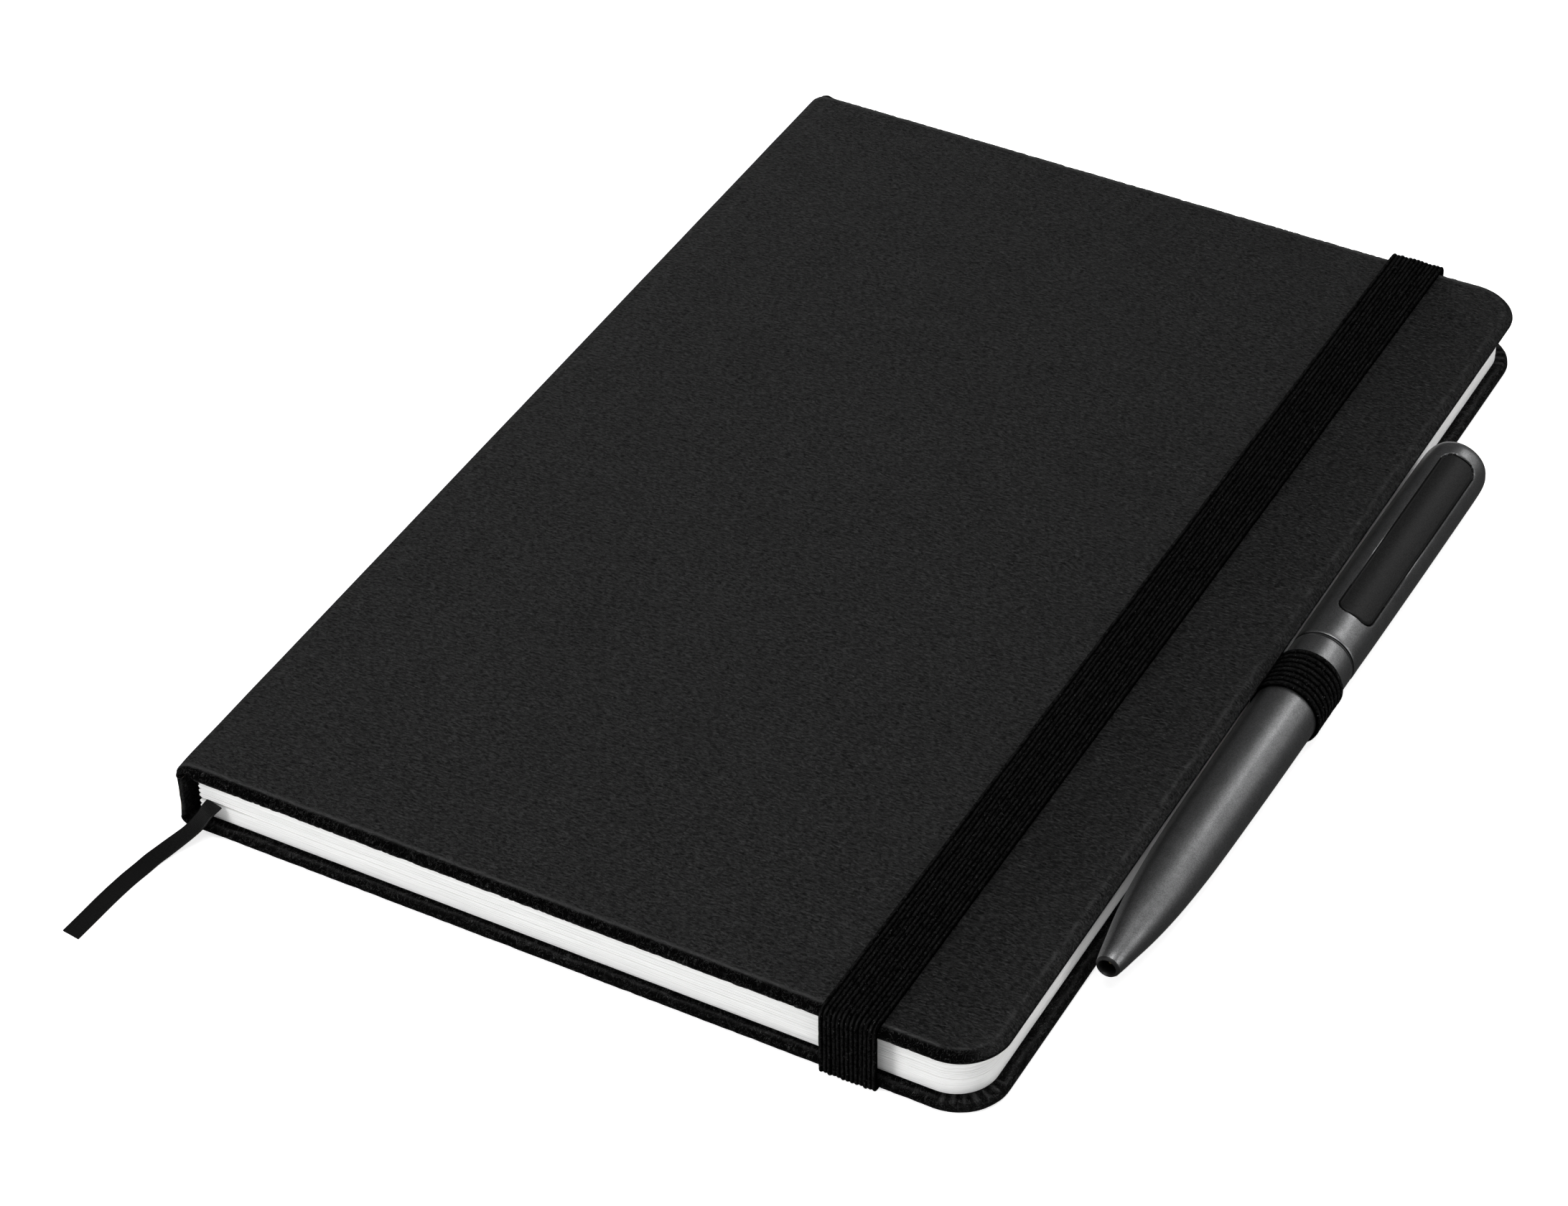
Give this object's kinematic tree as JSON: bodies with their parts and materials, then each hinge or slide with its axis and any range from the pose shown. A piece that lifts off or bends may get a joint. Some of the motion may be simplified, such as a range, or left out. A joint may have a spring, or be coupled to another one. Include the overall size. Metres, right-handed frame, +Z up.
{
  "type": "sketchbook",
  "caption": "Flat hard-cover sketchbook with black leather-grain covers, rounded fore-edge corners, vertical elastic closure, ribbon bookmark and a grey twist pen held in a side loop.",
  "frame": {"origin": "centre of the back cover's outer face, on the surface the book lies on", "axes": "+X from spine to fore-edge (the pen side), +Y from tail to head along the spine, +Z up from the back cover to the front cover"},
  "size_m": [0.1518, 0.2392, 0.0132],
  "materials": {
    "leather": "matte fine grain",
    "board": "raw grey board",
    "paper": "uncoated white",
    "lining": "open weave mull and glue",
    "ribbon": "satin weave",
    "elastic": "ribbed woven elastic",
    "pen_barrel": "satin gunmetal",
    "pen_black": "satin black",
    "pen_plastic": "natural",
    "pen_tip": "polished"
  },
  "bodies": {
    "book": {"back_skin": "leather", "back_board": "board", "back_pastedown": "paper", "back_flyleaf": "paper", "spine_skin": "leather", "spine_board": "board", "spine_lining": "lining", "signature_1": "paper", "signature_2": "paper", "signature_3": "paper", "signature_4": "paper", "signature_5": "paper", "signature_6": "paper", "signature_7": "paper", "ribbon_inner": "ribbon", "ribbon_tail": "ribbon", "pen_loop": "elastic", "band_anchor_tail": "elastic", "band_anchor_head": "elastic"},
    "front_cover": {"front_skin": "leather", "front_board": "board", "front_pastedown": "paper"},
    "flyleaf": {"front_flyleaf": "paper"},
    "first_signature": {"signature_8": "paper"},
    "elastic": {"elastic_band": "elastic"},
    "pen_body": {"pen_lower_barrel": "pen_barrel", "pen_ring": "pen_black"},
    "pen_top": {"pen_upper_barrel": "pen_barrel", "pen_twist_insert": "pen_plastic"},
    "pen_refill": {"pen_refill_tube": "pen_plastic", "pen_refill_tip": "pen_tip"},
    "pen_clip_body": {"pen_clip": "pen_black"}
  },
  "joints": [
    {"name": "front_cover_hinge", "type": "hinge", "parent": "book", "child": "front_cover", "pos_m": [-0.06895, 0, 0.0116], "axis": [0, -1, 0], "range_deg": [0, 179.5]},
    {"name": "flyleaf_turn", "type": "hinge", "parent": "book", "child": "flyleaf", "pos_m": [-0.0673, 0, 0.01175], "axis": [0, -1, 0], "range_deg": [0, 179.5]},
    {"name": "first_signature_turn", "type": "hinge", "parent": "book", "child": "first_signature", "pos_m": [-0.0673, 0, 0.01175], "axis": [0, -1, 0], "range_deg": [0, 179.5]},
    {"name": "elastic_swing", "type": "hinge", "parent": "book", "child": "elastic", "pos_m": [0.0485, 0, 0.0006], "axis": [0, 1, 0], "range_deg": [0, 180], "deforming": ["elastic_band"]},
    {"name": "pen_slide", "type": "slide", "parent": "book", "child": "pen_body", "axis": [0.007, 1, 0], "range_m": [0, 0.082]},
    {"name": "pen_twist", "type": "hinge", "parent": "pen_body", "child": "pen_top", "pos_m": [0.07406, 0.006, 0.00635], "axis": [0.007, 1, 0], "range_deg": [0, 120]},
    {"name": "refill_extend", "type": "slide", "parent": "pen_body", "child": "pen_refill", "axis": [-0.007, -1, 0], "range_m": [0, 0.003]},
    {"name": "clip_flex", "type": "hinge", "parent": "pen_top", "child": "pen_clip_body", "pos_m": [0.07641, 0.05699, 0.01094], "axis": [-0.917, 0.0064, 0.3987], "range_deg": [0, 3.5], "stiffness_Nm_per_rad": 0.5}
  ],
  "couplings": [
    {"joint": "flyleaf_turn", "follows": "front_cover_hinge", "ratio": 0.992},
    {"joint": "first_signature_turn", "follows": "front_cover_hinge", "ratio": 0.98},
    {"joint": "elastic_swing", "follows": "front_cover_hinge", "ratio": 1.0028},
    {"joint": "refill_extend", "follows": "pen_twist", "m_per_rad": 0.0014323}
  ]
}
